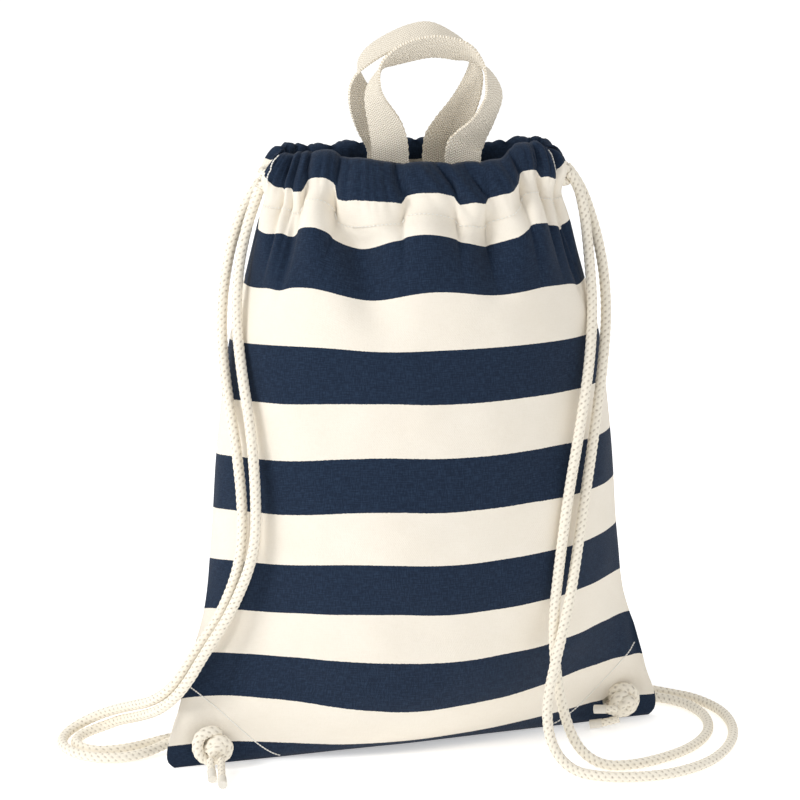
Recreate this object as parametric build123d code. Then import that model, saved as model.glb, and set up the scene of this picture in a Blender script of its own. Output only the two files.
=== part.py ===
from build123d import *
import os
from math import cos, pi, radians, sin, tan

# Drawstring sack of striped canvas, standing on its bottom seam.
# Millimetres, +Z up, front is -Y, origin on the floor under the middle of the body.

# ---- driving dimensions -------------------------------------------------------
CLOTH = 2.2            # wall of the cloth solids
SEAM_ALLOWANCE = 7.0   # the cavity stops this far inside the side seams
FLOOR_ALLOWANCE = 7.0  # and this far above the bottom seam
SEAM_HALF_T = 1.0      # half thickness of the side seams
CAVITY_EDGE = 0.4      # half of the cavity's thickness along the side seams
HEM_BOTTOM = 390.0     # stitch line under the drawstring tunnel
HEM_TOP = 428.0        # folded edge of the mouth
HEM_THICK = 14.0       # tunnel over all, front to back
TUNNEL_GAP = 10.8      # clear width of the tunnel
TUNNEL_SKIN = 3.0      # cloth left above and below the tunnel
MOUTH_Y = 10.0         # middle of the mouth
HEM_HALF_LENGTH = (97.0, 92.0)   # half length of a hem, at its stitch line and at its fold
HEM_END_Y = (12.0, 10.0)         # how far its ends stand from the middle of the mouth
HEM_MIDDLE_Y = (43.0, 24.0)      # and how far its middle bows out
CORD_D = 7.5           # braided cotton cord
CORD_SIDE_BY_SIDE = 3.4   # half the spacing of two strands squeezed through one eyelet
CORD_LEAD = 10.0       # straight cord just outside a tunnel's end
EYELET_LEAD = 11.0     # straight cord just behind an eyelet
LEFT_RUN_Z = 409.0     # the left cord's height inside the tunnel
RIGHT_RUN_Z = 417.3    # the right cord lies above it
TAIL_D = 5.6           # cord beyond the knots, pulled thin
TIP_D = 6.4            # sealed ends
TIP_LENGTH = 9.0
HANDLE_W = 25.0        # cotton webbing
HANDLE_T = 2.0
PIVOT_Z = HEM_TOP + 3.0
FRONT_PIVOT_Y = -1.5
BACK_PIVOT_Y = 21.5
LOOP_LEAN = 0.05       # how far the loops lean apart, per millimetre of height
EYELET_HOLE_R = 6.5
EYELET_BARREL_R = 7.3
EYELET_FLANGE_R = 11.0
EYELET_FLANGE_T = 0.8
EYELET_ALONG = 152.0   # eyelet's distance from the middle, along the bottom seam
EYELET_Z = 17.0
EAR_HALF_T = 2.6       # half of the pressed thickness under the flanges
REAR_RIM = EAR_HALF_T + EYELET_FLANGE_T + 0.7   # back of the eyelet, behind the seam plane
RUNNING_GAP = 0.1      # between an eyelet's barrel and what it passes
PATCH_LEG = 62.0       # legs of the triangular corner reinforcement
PATCH_T = 0.9
PATCH_LOW = 6.0        # height of its lower and upper corner
PATCH_HIGH = 62.0
THREAD_R = 0.5

# Stations of the body: height, half width, half depth, offset of the seam plane,
# twist about Z in degrees, fullness (small is full, above 1 is pinched at the ends).
STATIONS = [
    (0.0, 183.0, 9.0, -5.0, 14.0, 2.2),
    (8.0, 183.0, 18.0, -5.0, 14.0, 2.2),
    (20.0, 181.0, 30.0, -5.0, 13.5, 2.1),
    (40.0, 173.0, 46.5, -4.5, 12.0, 1.7),
    (75.0, 161.0, 61.0, -3.2, 9.0, 1.05),
    (110.0, 150.0, 69.0, -1.9, 6.5, 0.78),
    (160.0, 144.0, 75.0, 0.0, 4.5, 0.62),
    (224.0, 139.0, 73.5, 2.4, 3.0, 0.55),
    (300.0, 129.0, 69.0, 5.3, 1.5, 0.52),
    (345.0, 117.0, 64.0, 7.0, 0.5, 0.5),
    (HEM_BOTTOM, 105.0, 48.0, 8.7, 0.0, 0.45),
]
LENS_STEPS = (-0.95, -0.82, -0.6, -0.3, 0.0, 0.3, 0.6, 0.82, 0.95)


def station_at(z):
    """Body station interpolated at height z."""
    for low, high in zip(STATIONS, STATIONS[1:]):
        if z <= high[0]:
            s = (z - low[0]) / (high[0] - low[0])
            return tuple(a + s * (b - a) for a, b in zip(low, high))
    return STATIONS[-1]


def local_point(station, x, y):
    """A point of a section, turned by its twist."""
    z, _, _, offset, twist, _ = station
    a = radians(twist)
    return Vector(x * cos(a) - y * sin(a), offset + x * sin(a) + y * cos(a), z)


def lens_points(station, side, half_width, depth, edge=0.0):
    """Outline of one cloth panel, from the left seam to the right seam."""
    fullness = station[5]
    points = []
    for t in (-1.0,) + LENS_STEPS + (1.0,):
        y = edge + (depth - edge) * (1 - t * t) ** fullness
        points.append(local_point(station, half_width * t, side * y))
    return points


def half_section(station, side):
    """Half of the filled body at one height: the panel's outline and the seam plane."""
    points = lens_points(station, side, station[1], station[2], SEAM_HALF_T)
    left = local_point(station, -station[1], 0)
    right = local_point(station, station[1], 0)
    return make_face([Spline(points), Line(points[-1], right), Line(right, left), Line(left, points[0])])


def cavity_section(station, top_up=0.0):
    """Hollow of the sack at one height."""
    half_width = station[1] - SEAM_ALLOWANCE
    depth = max(station[2] - CLOTH, 1.2)
    raised = (station[0] + top_up,) + station[1:]
    front = lens_points(raised, -1, half_width, depth, CAVITY_EDGE)
    back = lens_points(raised, 1, half_width, depth, CAVITY_EDGE)
    back.reverse()
    right_end, left_end = Line(front[-1], back[0]), Line(back[-1], front[0])
    return make_face([Spline(front), right_end, Spline(back), left_end])


def make_panels():
    """Front and back panel, each a shell with the sack's cavity taken out."""
    inner = [station_at(FLOOR_ALLOWANCE)] + STATIONS[2:]
    cavity = loft([cavity_section(s) for s in inner[:-1]] + [cavity_section(inner[-1], 0.5)])
    front, back = (loft([half_section(s, side) for s in STATIONS]) - cavity for side in (-1, 1))
    return front, back


# ---- drawstring tunnels ---------------------------------------------------------
def tunnel_arc(z, side, shift):
    """End, middle and end points of a tunnel line at height z, moved outwards by shift."""
    s = (z - HEM_BOTTOM) / (HEM_TOP - HEM_BOTTOM)
    half_length, end_y, middle_y = (
        low + s * (high - low) for low, high in (HEM_HALF_LENGTH, HEM_END_Y, HEM_MIDDLE_Y)
    )
    ends = MOUTH_Y + side * (end_y + shift)
    middle = MOUTH_Y + side * (middle_y + shift)
    return Vector(-half_length, ends, z), Vector(0, middle, z), Vector(half_length, ends, z)


def tunnel_section(z, side, thickness, extra_length=0.0):
    """Section of a hem's band, or of the slot through it, at height z."""
    outer = tunnel_arc(z, side, thickness / 2)
    inner = tunnel_arc(z, side, -thickness / 2)
    grow = Vector(extra_length, 0, 0)
    a, b, c = outer[0] - grow, outer[1], outer[2] + grow
    d, e, f = inner[2] + grow, inner[1], inner[0] - grow
    return make_face([ThreePointArc(a, b, c), Line(c, d), ThreePointArc(d, e, f), Line(f, a)])


def make_hem(side):
    """Turned hem of one panel: a band with the drawstring tunnel through it."""
    band = loft([tunnel_section(z, side, HEM_THICK) for z in (HEM_BOTTOM, HEM_TOP)], ruled=True)
    slot_ends = (HEM_BOTTOM + TUNNEL_SKIN, HEM_TOP - TUNNEL_SKIN)
    slot = loft([tunnel_section(z, side, TUNNEL_GAP, 2.0) for z in slot_ends], ruled=True)
    return band - slot


def tube(path_edges, start, direction):
    """Cord-sized tube along a path of lines and arcs."""
    profile = Plane(origin=start, z_dir=direction) * Circle(CORD_D / 2)
    return sweep(profile, path=path_edges)


def casing_run(z, mouth):
    """A cord's run through both tunnels, with its two free ends at mouth = -1 left or +1 right."""
    front = tunnel_arc(z, -1, 0)
    back = tunnel_arc(z, 1, 0)
    if mouth < 0:
        near_f, far_f, near_b, far_b = front[0], front[2], back[0], back[2]
    else:
        near_f, far_f, near_b, far_b = front[2], front[0], back[2], back[0]
    arc_f = ThreePointArc(near_f, front[1], far_f)
    cap = TangentArc(far_f, far_b, tangent=arc_f % 1)
    arc_b = ThreePointArc(far_b, back[1], near_b)
    lead_f = Line(near_f - (arc_f % 0) * CORD_LEAD, near_f)
    lead_b = Line(near_b, near_b + (arc_b % 1) * CORD_LEAD)
    path = Wire([lead_f, arc_f, cap, arc_b, lead_b])
    return tube(path, lead_f @ 0, lead_f % 0), lead_f @ 0, lead_b @ 1


# ---- free cords -------------------------------------------------------------------
def corner_radii(points):
    """The largest arc that the two runs beside each corner leave room for."""
    radii = []
    for a, b, c in zip(points, points[1:], points[2:]):
        turn = radians((b - a).get_angle(c - b))
        shorter = min((b - a).length, (c - b).length)
        radii.append(0.45 * shorter / tan(turn / 2))
    return radii


def free_cord(name, route):
    """Tube along straight runs joined by tangent arcs; prints what the route measures."""
    points = [Vector(*p) for p in route]
    radii = corner_radii(points)
    path = FilletPolyline(*points, radius=radii)
    solid = tube(path, points[0], points[1] - points[0])
    expected = pi * (CORD_D / 2) ** 2 * path.length
    print(name, "length", round(path.length), "volume ratio", round(solid.volume / expected, 4))
    print("   radii", [round(r) for r in radii])
    return solid


# Hand-chosen points of the four free strands, from the tunnel's end to the back of the eyelet.
LEFT_BACK_ROUTE = [
    (-110, 15, 405), (-121, 13, 387), (-130, 8, 357), (-135, 0, 322), (-134, -22, 284), (-126, -42, 235),
    (-122, -49, 191), (-124, -50, 153), (-138, -44, 113), (-155, -42, 87), (-171, -43, 60), (-187, -27, 42),
    (-204, -3, 30), (-222, 14, 19), (-238, 19, 10), (-249, 11, 5.5), (-253.5, -3, 4), (-250, -18, 4),
    (-240, -30, 4), (-226, -37, 4), (-210, -38, 4), (-195, -31, 4), (-184, -22, 5), (-173, -16, 8),
    (-162, -19, 12),
]
LEFT_FRONT_ROUTE = [
    (-110, 4, 400), (-117, 0, 380), (-123, -6, 352), (-125, -18, 322), (-122, -35, 288), (-116, -48, 250),
    (-113, -57, 205), (-114, -59, 162), (-128, -54, 116), (-146, -52, 86), (-162, -53, 58), (-178, -38, 37),
    (-196, -13, 23), (-209, 5, 14), (-220, 13, 9), (-231, 13, 6), (-240, 6, 4.5), (-243.5, -5, 4),
    (-239.5, -16, 4), (-229.5, -23, 4), (-216, -23, 4), (-200, -17, 4), (-186, -9, 4.5), (-173, -5, 6),
    (-161, -8, 9.5), (-152.5, -16, 14),
]
RIGHT_FRONT_ROUTE = [
    (113, 5, 409), (118, 2, 388), (121, -4, 358), (123, -14, 324), (120, -30, 290), (113, -43, 248),
    (104, -52, 200), (98, -55, 150), (94, -55, 108), (96, -56, 70), (102, -60, 38), (112, -65, 14),
    (129, -71, 4), (150, -70, 4), (172, -59, 4), (195, -40, 4), (211, -12, 4), (214, 18, 4), (205, 44, 4),
    (190, 58, 4), (173, 63, 5), (162, 61, 8), (154.2, 54.7, 13),
]
RIGHT_BACK_ROUTE = [
    (115, 16, 407), (125, 14, 380), (132, 8, 350), (134, -3, 318), (130, -22, 286), (124, -35, 246),
    (117, -44, 200), (111, -50, 158), (105, -57, 120), (95, -67, 82), (88, -70, 48), (92, -74, 20),
    (106, -82, 5), (126, -91, 4), (151, -93, 4), (181, -86, 4), (211, -62, 4), (230, -18, 4), (229, 26, 4),
    (212, 57, 4), (190, 71, 4), (168, 72, 8), (154, 66, 12), (146, 56.5, 15),
]
# Short cut ends beyond each knot: start inside the knot, bend, tip.
LEFT_TAILS = [
    [(-147, -60, 10), (-146.5, -70, 6), (-146, -79, 3.4)],
    [(-139.5, -60, 10), (-139.5, -74, 5.5), (-139, -90, 3.4)],
]
RIGHT_TAILS = [
    [(147, 5, 18), (139, 6, 17), (131, 9, 16)],
    [(148, 7, 9), (139, 8, 6), (128, 10, 4)],
]


# ---- corners: eyelets, reinforcement patches, knots ---------------------------------
def eyelet_frame(side):
    """Plane of a bottom corner's eyelet, with its normal pointing forwards."""
    station = station_at(EYELET_Z)
    a = radians(station[4])
    centre = local_point(station, side * EYELET_ALONG, 0)
    return Plane(origin=centre, x_dir=(cos(a), sin(a), 0), z_dir=(sin(a), -cos(a), 0))


def disc(frame, radius, low, high, hole=0.0):
    """Disc or ring around the frame's normal, from low to high along it."""
    solid = frame * Pos(0, 0, (low + high) / 2) * Cylinder(radius, high - low)
    if hole:
        solid -= frame * Pos(0, 0, (low + high) / 2) * Cylinder(hole, (high - low) * 1.5)
    return solid


def make_eyelet(frame):
    """Front half: flange, barrel and the rim rolled over the washer."""
    flange = disc(frame, EYELET_FLANGE_R, EAR_HALF_T, EAR_HALF_T + EYELET_FLANGE_T, EYELET_HOLE_R)
    barrel = disc(frame, EYELET_BARREL_R, -REAR_RIM, EAR_HALF_T + 0.1, EYELET_HOLE_R)
    rim = disc(frame, EYELET_BARREL_R + 1.2, -REAR_RIM, -EAR_HALF_T - EYELET_FLANGE_T, EYELET_HOLE_R)
    return flange + barrel + rim


def make_washer(frame):
    """Rear ring that the barrel is rolled over."""
    outer_face = -EAR_HALF_T - EYELET_FLANGE_T
    return disc(frame, EYELET_FLANGE_R, outer_face, -EAR_HALF_T, EYELET_BARREL_R + RUNNING_GAP)


def patch_edges(z, side):
    """Inner and outer end of the triangular patch at height z, along the seam plane."""
    s = (z - PATCH_LOW) / (PATCH_HIGH - PATCH_LOW)
    outer = station_at(z)[1] - SEAM_ALLOWANCE - 2
    inner = (1 - s) * (outer - PATCH_LEG) + s * (outer - 4)
    return side * inner, side * outer


def make_patch(side):
    """Triangle of canvas sewn between the two panels at a bottom corner."""
    sections = []
    for z in (PATCH_LOW, 20.0, 40.0, PATCH_HIGH):
        station = (z,) + station_at(z)[1:]
        inner, outer = patch_edges(z, side)
        half = PATCH_T / 2
        corners = [local_point(station, x, y) for x, y in
                   ((inner, -half), (outer, -half), (outer, half), (inner, half))]
        sections.append(make_face(Polyline(*corners, close=True)))
    return loft(sections, ruled=True)


def make_knot(frame, side):
    """Both strands pass the eyelet together and are tied in one knot in front of it."""
    front = EAR_HALF_T + EYELET_FLANGE_T
    stem = disc(frame, EYELET_HOLE_R - RUNNING_GAP, -REAR_RIM, front + 4)
    ball = frame * Pos(0, 0, front + 9.3) * scale(Sphere(1), by=(13.5, 12.5, 9.2))
    lobe = frame * Pos(side * -4.5, -1.5, front + 13) * Sphere(8.6)
    return stem + ball + lobe


def make_tail(route):
    """Cord end beyond a knot, and the sealed tip on it."""
    points = [Vector(*p) for p in route]
    path = FilletPolyline(*points, radius=corner_radii(points))
    end_direction = (points[2] - points[1]).normalized()
    body = sweep(Plane(origin=points[0], z_dir=points[1] - points[0]) * Circle(TAIL_D / 2), path=path)
    end = Plane(origin=points[2], z_dir=end_direction)
    sleeve = end * Pos(0, 0, 0.6 - TIP_LENGTH / 2) * Cylinder(TIP_D / 2, TIP_LENGTH)
    return body - sleeve, sleeve


# ---- handles ------------------------------------------------------------------------
# Stations of a webbing loop: x, z, then the direction from one edge to the other as a
# turn about Z from +X and a rise, in degrees.
FRONT_LOOP = [
    (-17, PIVOT_Z, 0, 0), (-20, 450, -20, 5), (-27, 471, -58, 12), (-26, 485, -80, 20), (-20, 496, -90, 32),
    (-6, 504, -90, 44), (12, 508, -90, 47), (30, 505, -90, 44), (41, 498, -96, 30), (49, 487, -108, 15),
    (53, 471, -122, 5), (46, 454, -138, 0), (37, 441, -163, 0), (33, PIVOT_Z, -180, 0),
]
BACK_LOOP = [
    (-20, PIVOT_Z, 0, 0), (-28, 448, 16, 0), (-35, 462, 38, 0), (-39, 475, 62, 3), (-38, 486, 82, 8),
    (-31, 495, 90, 13), (-19, 503, 90, 16), (-3, 510, 90, 16), (12, 512, 90, 16), (27, 506, 90, 13),
    (38, 498, 94, 8), (43, 486, 106, 3), (40, 472, 122, 0), (33, 457, 138, 0), (23, 441, 163, 0),
    (19, PIVOT_Z, 180, 0),
]


def make_loop(stations, y, side):
    """Flat webbing that stands on its two ends and twists so that it lies flat over the top."""
    centres = [Vector(x, y + side * LOOP_LEAN * (z - PIVOT_Z), z) for x, z, _, _ in stations]
    sections = []
    for i, (_, _, turn, rise) in enumerate(stations):
        tangent = centres[min(i + 1, len(centres) - 1)] - centres[max(i - 1, 0)]
        if i in (0, len(centres) - 1):
            tangent = Vector(0, 0, 1 if i == 0 else -1)
        tangent = tangent.normalized()
        a, b = radians(turn), radians(rise)
        across = Vector(cos(a) * cos(b), sin(a) * cos(b), sin(b))
        across = across - tangent * across.dot(tangent)
        plane = Plane(origin=centres[i], x_dir=across.normalized(), z_dir=tangent)
        sections.append(plane * Rectangle(HANDLE_W, HANDLE_T))
    return loft(sections, ruled=True)


def make_tabs(stations, y):
    """Sewn-down ends of a handle, between the hem and the mouth."""
    top, bottom = PIVOT_Z - 1.8, HEM_BOTTOM + 8
    tab = Box(HANDLE_W, HANDLE_T, top - bottom)
    middle = (top + bottom) / 2
    return Compound(children=[Pos(end[0], y, middle) * tab for end in (stations[0], stations[-1])])


# ---- stitching ----------------------------------------------------------------------
def stitch_row(points, share=0.7):
    """Separate straight stitches between neighbouring points."""
    stitches = []
    for a, b in zip(points, points[1:]):
        run = b - a
        plane = Plane(origin=a, z_dir=run)
        stitches.append(Solid.make_cylinder(THREAD_R, run.length * share, plane))
    return stitches


def tunnel_y(x, z, side, shift):
    """y of a tunnel line at a given x."""
    end, middle, _ = tunnel_arc(z, side, shift)
    half, sag = abs(end.X), abs(middle.Y - end.Y)
    radius = (half * half + sag * sag) / (2 * sag)
    return middle.Y - side * (radius - (radius * radius - x * x) ** 0.5)


def hem_stitching(side):
    """Row that closes the tunnel below, on the outer face."""
    z = HEM_BOTTOM + 2
    half = 94.0
    count = 46
    shift = HEM_THICK / 2 + THREAD_R + 0.5
    xs = [-half + 2 * half * i / count for i in range(count + 1)]
    return Compound(children=stitch_row([Vector(x, tunnel_y(x, z, side, shift), z) for x in xs]))


def tunnel_end_stitching():
    """Short rows that hem the four open ends of the tunnels."""
    stitches = []
    shift = HEM_THICK / 2 + THREAD_R + 0.1
    for side in (-1, 1):
        for end in (-1, 1):
            points = []
            for i in range(8):
                z = HEM_BOTTOM + 4 + i * 4.5
                x = end * (89.0 - 5.0 * (z - HEM_BOTTOM) / (HEM_TOP - HEM_BOTTOM))
                points.append(Vector(x, tunnel_y(x, z, side, shift), z))
            stitches += stitch_row(points)
    return Compound(children=stitches)


def corner_stitching(end):
    """Diagonal rows through both panels along the patch's long edge."""
    stitches = []
    for side in (-1, 1):
        points = []
        for i in range(9):
            z = 9.0 + i * 6.4
            station = station_at(z)
            x = patch_edges(z, end)[0] + end * 2
            depth = station[2] * (1 - (x / station[1]) ** 2) ** station[5]
            points.append(local_point((z,) + station[1:], x, side * (depth + THREAD_R + 2.0)))
        stitches += stitch_row(points)
    return Compound(children=stitches)


# ---- assembly -----------------------------------------------------------------------
def build():
    """Every node's solid, by name."""
    front_panel, back_panel = make_panels()
    nodes = {}
    for side, name in ((-1, "left"), (1, "right")):
        frame = eyelet_frame(side)
        patch = make_patch(side)
        hole = disc(frame, EYELET_BARREL_R + RUNNING_GAP, -20, 20)
        front_seat = disc(frame, EYELET_FLANGE_R + 0.3, EAR_HALF_T, 20)
        back_seat = disc(frame, EYELET_FLANGE_R + 0.3, -20, -EAR_HALF_T)
        front_panel = front_panel - patch - hole - front_seat
        back_panel = back_panel - patch - hole - back_seat
        nodes[name + "_corner_patch"] = patch - hole
        nodes[name + "_eyelet"] = make_eyelet(frame)
        nodes[name + "_eyelet_washer"] = make_washer(frame)
        nodes[name + "_knot"] = make_knot(frame, side)
        nodes[name + "_corner_stitching"] = corner_stitching(side)
        for i, route in enumerate(LEFT_TAILS if side < 0 else RIGHT_TAILS):
            tail, sleeve = make_tail(route)
            nodes[f"{name}_tail_{i + 1}"] = tail - nodes[name + "_knot"]
            nodes[f"{name}_tail_{i + 1}_tip"] = sleeve
    nodes["front_panel"] = front_panel
    nodes["back_panel"] = back_panel
    nodes["front_hem"] = make_hem(-1)
    nodes["back_hem"] = make_hem(1)
    nodes["front_hem_stitching"] = hem_stitching(-1)
    nodes["back_hem_stitching"] = hem_stitching(1)
    nodes["tunnel_end_stitching"] = tunnel_end_stitching()
    nodes["front_handle"] = make_loop(FRONT_LOOP, FRONT_PIVOT_Y, -1)
    nodes["back_handle"] = make_loop(BACK_LOOP, BACK_PIVOT_Y, 1)
    nodes["front_handle_tabs"] = make_tabs(FRONT_LOOP, FRONT_PIVOT_Y)
    nodes["back_handle_tabs"] = make_tabs(BACK_LOOP, BACK_PIVOT_Y)

    for name, z, mouth, front_route, back_route in (
        ("left", LEFT_RUN_Z, -1, LEFT_FRONT_ROUTE, LEFT_BACK_ROUTE),
        ("right", RIGHT_RUN_Z, 1, RIGHT_FRONT_ROUTE, RIGHT_BACK_ROUTE),
    ):
        run, front_end, back_end = casing_run(z, mouth)
        nodes[name + "_cord_tunnel_run"] = run
        frame = eyelet_frame(mouth)
        for strand, start, route, slot in (
            ("front", front_end, front_route, 1),
            ("back", back_end, back_route, -1),
        ):
            across = frame.x_dir * (slot * CORD_SIDE_BY_SIDE)
            end = frame.origin + across - frame.z_dir * REAR_RIM
            before = end - frame.z_dir * EYELET_LEAD
            points = [tuple(start)] + route + [tuple(before), tuple(end)]
            nodes[f"{name}_cord_{strand}_strand"] = free_cord(f"{name} {strand}", points)
    return nodes


def main():
    os.makedirs("parts", exist_ok=True)
    for name, solid in build().items():
        export_step(solid, f"parts/{name}.step")


main()
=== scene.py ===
from math import asin, ceil, cos, pi, radians, sin

import bpy
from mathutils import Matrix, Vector, noise


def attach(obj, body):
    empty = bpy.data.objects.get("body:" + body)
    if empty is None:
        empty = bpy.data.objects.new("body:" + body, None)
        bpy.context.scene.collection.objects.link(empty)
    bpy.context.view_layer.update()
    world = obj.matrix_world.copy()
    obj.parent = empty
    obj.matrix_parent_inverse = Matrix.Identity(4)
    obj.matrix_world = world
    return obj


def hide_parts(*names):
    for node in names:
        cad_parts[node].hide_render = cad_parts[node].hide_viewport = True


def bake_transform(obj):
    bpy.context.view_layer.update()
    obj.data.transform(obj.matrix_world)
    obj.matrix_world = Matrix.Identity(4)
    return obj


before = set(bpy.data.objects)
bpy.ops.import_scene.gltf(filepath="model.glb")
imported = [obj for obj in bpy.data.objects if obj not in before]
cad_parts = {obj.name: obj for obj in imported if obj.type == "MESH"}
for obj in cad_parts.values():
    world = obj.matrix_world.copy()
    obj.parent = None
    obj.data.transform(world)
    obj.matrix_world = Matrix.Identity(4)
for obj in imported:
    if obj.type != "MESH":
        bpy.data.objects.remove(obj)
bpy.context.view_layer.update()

# Striped drawstring sack. Lengths below are millimetres unless a name says otherwise;
# MM turns them into metres as the meshes are written.
MM = 0.001


# ---- camera ---------------------------------------------------------------------
def make_camera():
    """Long lens, a little to the left of the front and looking down at the sack."""
    data = bpy.data.cameras.new("camera")
    data.lens = 192.857
    data.sensor_width = 36.0
    camera = bpy.data.objects.new("camera", data)
    bpy.context.scene.collection.objects.link(camera)
    place = Vector((-160.89, -2870.42, 1132.94)) * MM
    target = Vector((-10.75, -5.43, 255.83)) * MM
    camera.location = place
    camera.rotation_euler = (target - place).to_track_quat("-Z", "Y").to_euler()
    bpy.context.scene.camera = camera


make_camera()


# ---- mesh helpers -----------------------------------------------------------------
def make_object(name, points, faces, uvs=None, gap=None):
    """Smooth mesh from points in millimetres; uvs are in metres on the flat cloth."""
    mesh = bpy.data.meshes.new(name)
    mesh.from_pydata([tuple(p * MM for p in point) for point in points], [], faces)
    mesh.polygons.foreach_set("use_smooth", [True] * len(mesh.polygons))
    if uvs is not None:
        layer = mesh.uv_layers.new(name="cloth")
        flat = []
        for loop in mesh.loops:
            flat += uvs[loop.vertex_index]
        layer.data.foreach_set("uv", flat)
    # gap: painted shade per point, read by the cord's material
    if gap is not None:
        mesh.attributes.new("gap", "FLOAT", "POINT").data.foreach_set("value", gap)
    mesh.update()
    obj = bpy.data.objects.new(name, mesh)
    bpy.context.scene.collection.objects.link(obj)
    return obj


def grid_faces(rows, columns, closed=False):
    """Quads of a rows by columns grid of points; closed joins the last column to the first."""
    faces = []
    for i in range(rows - 1):
        for j in range(columns if closed else columns - 1):
            k = (j + 1) % columns
            low, high = i * columns, (i + 1) * columns
            faces.append((low + j, low + k, high + k, high + j))
    return faces


def blend_points(knots, x):
    """Smooth curve through (x, value) knots."""
    if x <= knots[0][0]:
        return knots[0][1]
    for (x0, y0), (x1, y1) in zip(knots, knots[1:]):
        if x <= x1:
            s = (x - x0) / (x1 - x0)
            s = s * s * (3 - 2 * s)
            return y0 + s * (y1 - y0)
    return knots[-1][1]


def fade(x, start, end):
    """1 before start, 0 after end."""
    s = min(max((x - start) / (end - start), 0.0), 1.0)
    return 1 - s * s * (3 - 2 * s)


def catmull(points, steps):
    """Smooth line through tuples of any size."""
    line = []
    for i in range(len(points) - 1):
        p0, p1 = points[max(i - 1, 0)], points[i]
        p2, p3 = points[i + 1], points[min(i + 2, len(points) - 1)]
        for j in range(steps):
            t = j / steps
            line.append(tuple(
                0.5 * (2 * b + (c - a) * t + (2 * a - 5 * b + 4 * c - d) * t * t
                       + (3 * b - a - 3 * c + d) * t ** 3)
                for a, b, c, d in zip(p0, p1, p2, p3)))
    line.append(tuple(points[-1]))
    return line


# ---- materials ----------------------------------------------------------------------
def new_material(name, roughness=0.9):
    material = bpy.data.materials.new(name)
    material.use_nodes = True
    nodes, links = material.node_tree.nodes, material.node_tree.links
    shader = nodes["Principled BSDF"]
    shader.inputs["Roughness"].default_value = roughness
    return material, nodes, links, shader


def math_node(nodes, links, kind, a, b=None):
    """A Math node fed with sockets or numbers."""
    node = nodes.new("ShaderNodeMath")
    node.operation = kind
    for socket, value in zip(node.inputs, (a, b)):
        if value is None:
            continue
        if isinstance(value, (int, float)):
            socket.default_value = value
        else:
            links.new(value, socket)
    return node.outputs[0]


def mix_color(nodes, links, factor, a, b):
    """Mixes two colours, given as tuples or sockets."""
    node = nodes.new("ShaderNodeMix")
    node.data_type = "RGBA"
    if isinstance(factor, (int, float)):
        node.inputs[0].default_value = factor
    else:
        links.new(factor, node.inputs[0])
    for socket, value in ((node.inputs[6], a), (node.inputs[7], b)):
        if isinstance(value, tuple):
            socket.default_value = value + (1.0,)
        else:
            links.new(value, socket)
    return node.outputs[2]


def noise_node(nodes, links, vector, scale, detail=3.0):
    node = nodes.new("ShaderNodeTexNoise")
    node.inputs["Scale"].default_value = scale
    node.inputs["Detail"].default_value = detail
    links.new(vector, node.inputs["Vector"])
    return node.outputs["Fac"]


def scaled(nodes, links, vector, factors):
    node = nodes.new("ShaderNodeVectorMath")
    node.operation = "MULTIPLY"
    node.inputs[1].default_value = factors
    links.new(vector, node.inputs[0])
    return node.outputs[0]


def wave_node(nodes, links, value, pitch):
    """Sine of a length, one wave to each pitch in metres."""
    return math_node(nodes, links, "SINE", math_node(nodes, links, "MULTIPLY", value, 2 * pi / pitch))


def bump_into(nodes, links, shader, height, distance, strength):
    bump = nodes.new("ShaderNodeBump")
    bump.inputs["Distance"].default_value = distance
    bump.inputs["Strength"].default_value = strength
    links.new(height, bump.inputs["Height"])
    links.new(bump.outputs[0], shader.inputs["Normal"])


NAVY = (0.0065, 0.0155, 0.036)
NAVY_LIGHT = (0.017, 0.035, 0.070)
CREAM = (0.84, 0.775, 0.665)
CREAM_LIGHT = (0.90, 0.845, 0.75)
CREAM_SPECK = (0.78, 0.70, 0.58)
STRIPE_M = 0.038        # width of a full stripe
FIRST_STRIPE_M = 0.025  # navy left outside below the fold
THREAD_M = 0.0011       # pitch of the canvas threads
RAGGED_M = 0.0007       # how far a stripe's edge wanders


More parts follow.
